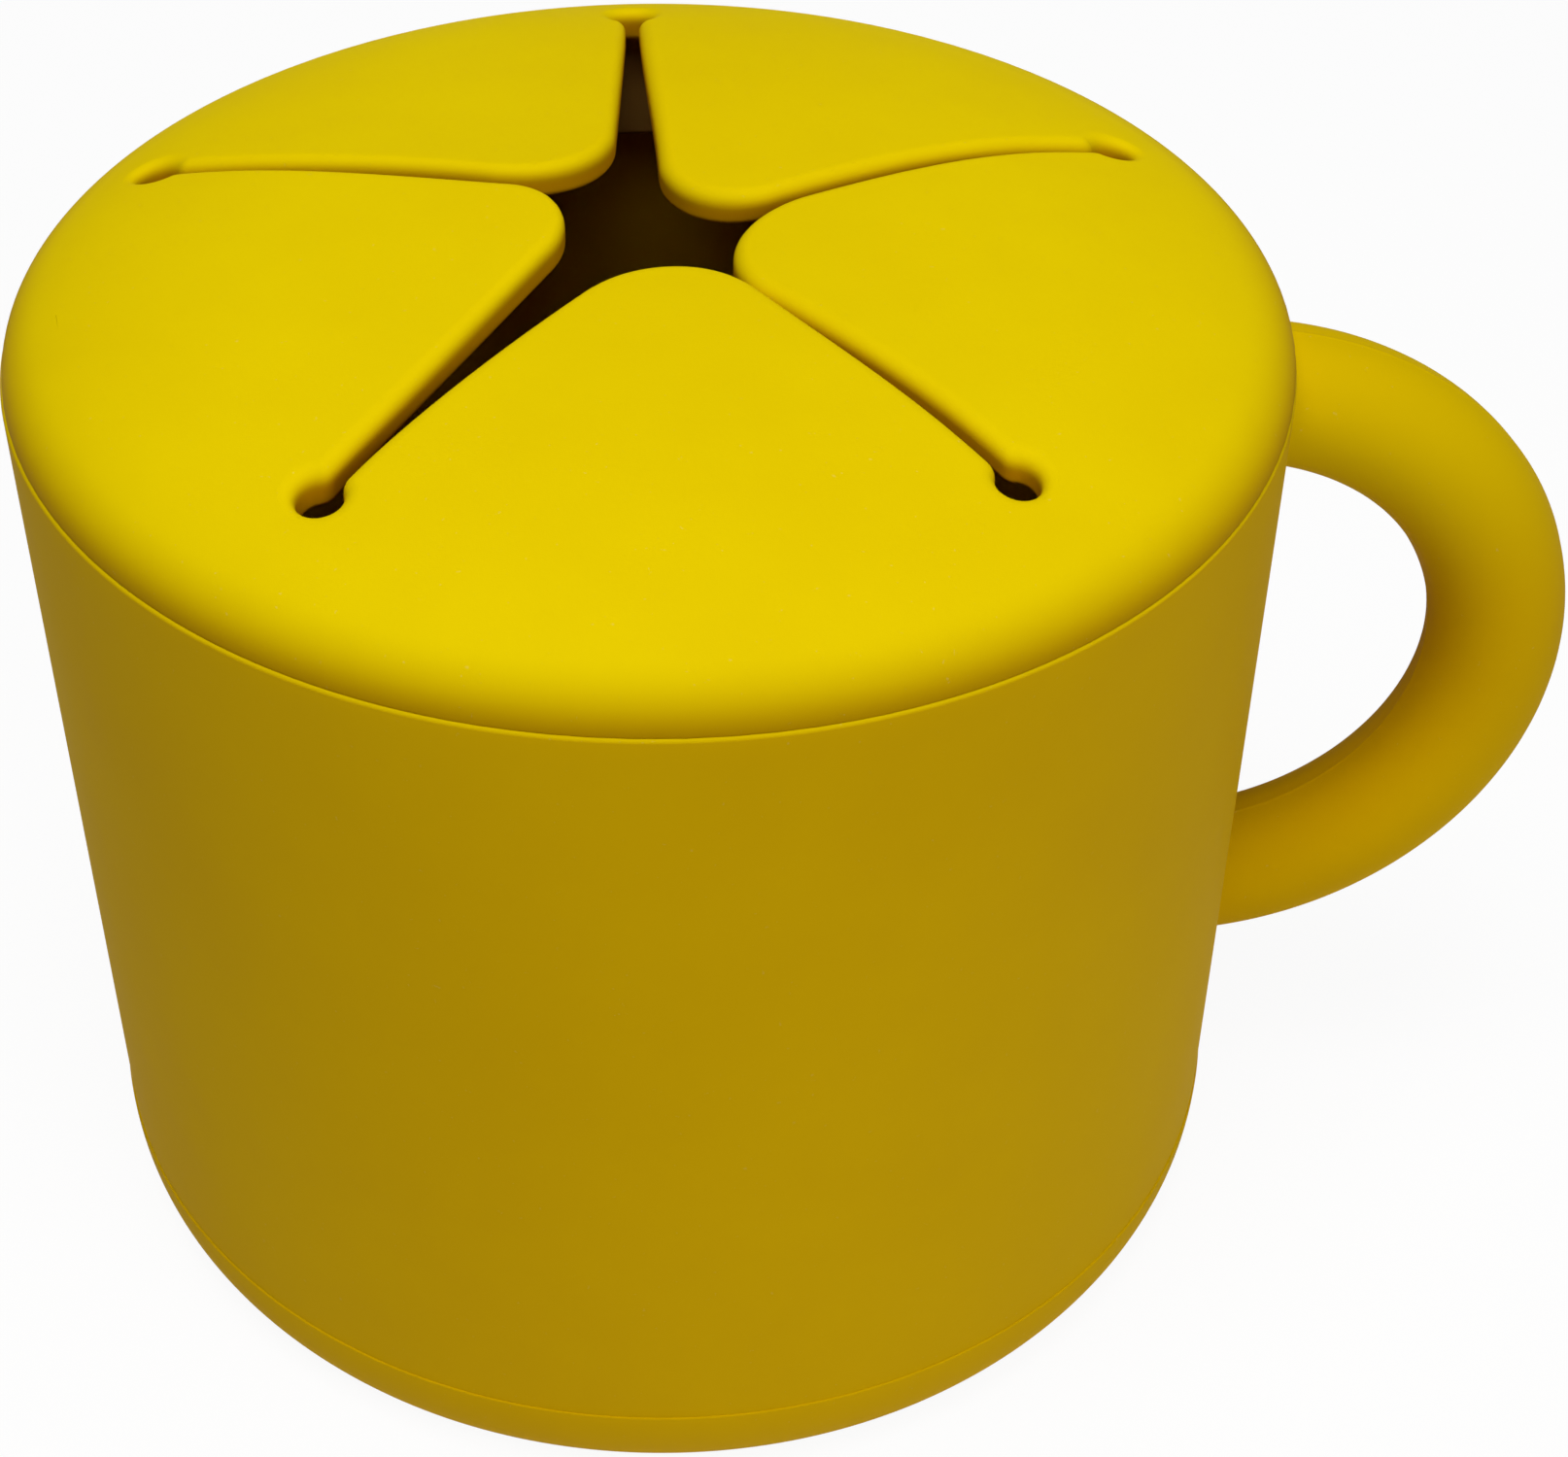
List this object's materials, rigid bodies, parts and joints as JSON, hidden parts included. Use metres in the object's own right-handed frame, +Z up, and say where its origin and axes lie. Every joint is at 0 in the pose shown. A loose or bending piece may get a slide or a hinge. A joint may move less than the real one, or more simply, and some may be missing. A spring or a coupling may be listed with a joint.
{
  "type": "toddler snack cup",
  "caption": "Soft silicone snack cup for a toddler, with one round ring handle and a press-on domed lid whose slit flaps let a hand in and keep snacks from spilling.",
  "frame": {"origin": "centre of the cup's flat underside, on the cup's axis", "axes": "+Z up along the cup's axis towards the lid; +X from the axis towards the middle of the ring handle; +Y completes the right-handed set"},
  "size_m": [0.1137, 0.09, 0.08],
  "materials": {
    "cup": "matte mustard-yellow silicone",
    "handle": "matte mustard-yellow silicone",
    "lid": "matte yellow silicone",
    "flaps": "matte yellow silicone"
  },
  "bodies": {
    "cup": {"cup_wall": "cup", "cup_foot": "cup", "handle": "handle"},
    "lid": {"lid_dome": "lid", "lid_skirt": "lid"},
    "right_flap": {"right_flap": "flaps"},
    "back_right_flap": {"back_right_flap": "flaps"},
    "back_left_flap": {"back_left_flap": "flaps"},
    "left_flap": {"left_flap": "flaps"},
    "front_flap": {"front_flap": "flaps"}
  },
  "joints": [
    {"name": "lid_lift", "type": "slide", "parent": "cup", "child": "lid", "axis": [0, 0, 1], "range_m": [0, 0.05]},
    {"name": "right_flap_hinge", "type": "hinge", "parent": "lid", "child": "right_flap", "pos_m": [0.0277, -0.009, 0.07709], "axis": [-0.309, -0.9511, 0], "range_deg": [-40, 65], "stiffness_Nm_per_rad": 0.02},
    {"name": "back_right_flap_hinge", "type": "hinge", "parent": "lid", "child": "back_right_flap", "pos_m": [0.01712, 0.02356, 0.07709], "axis": [0.809, -0.5878, 0], "range_deg": [-40, 65], "stiffness_Nm_per_rad": 0.02},
    {"name": "back_left_flap_hinge", "type": "hinge", "parent": "lid", "child": "back_left_flap", "pos_m": [-0.01712, 0.02356, 0.07709], "axis": [0.809, 0.5878, 0], "range_deg": [-40, 65], "stiffness_Nm_per_rad": 0.02},
    {"name": "left_flap_hinge", "type": "hinge", "parent": "lid", "child": "left_flap", "pos_m": [-0.0277, -0.009, 0.07709], "axis": [-0.309, 0.9511, 0], "range_deg": [-40, 65], "stiffness_Nm_per_rad": 0.02},
    {"name": "front_flap_hinge", "type": "hinge", "parent": "lid", "child": "front_flap", "pos_m": [0, -0.02912, 0.07709], "axis": [-1, 0, 0], "range_deg": [-40, 65], "stiffness_Nm_per_rad": 0.02}
  ]
}
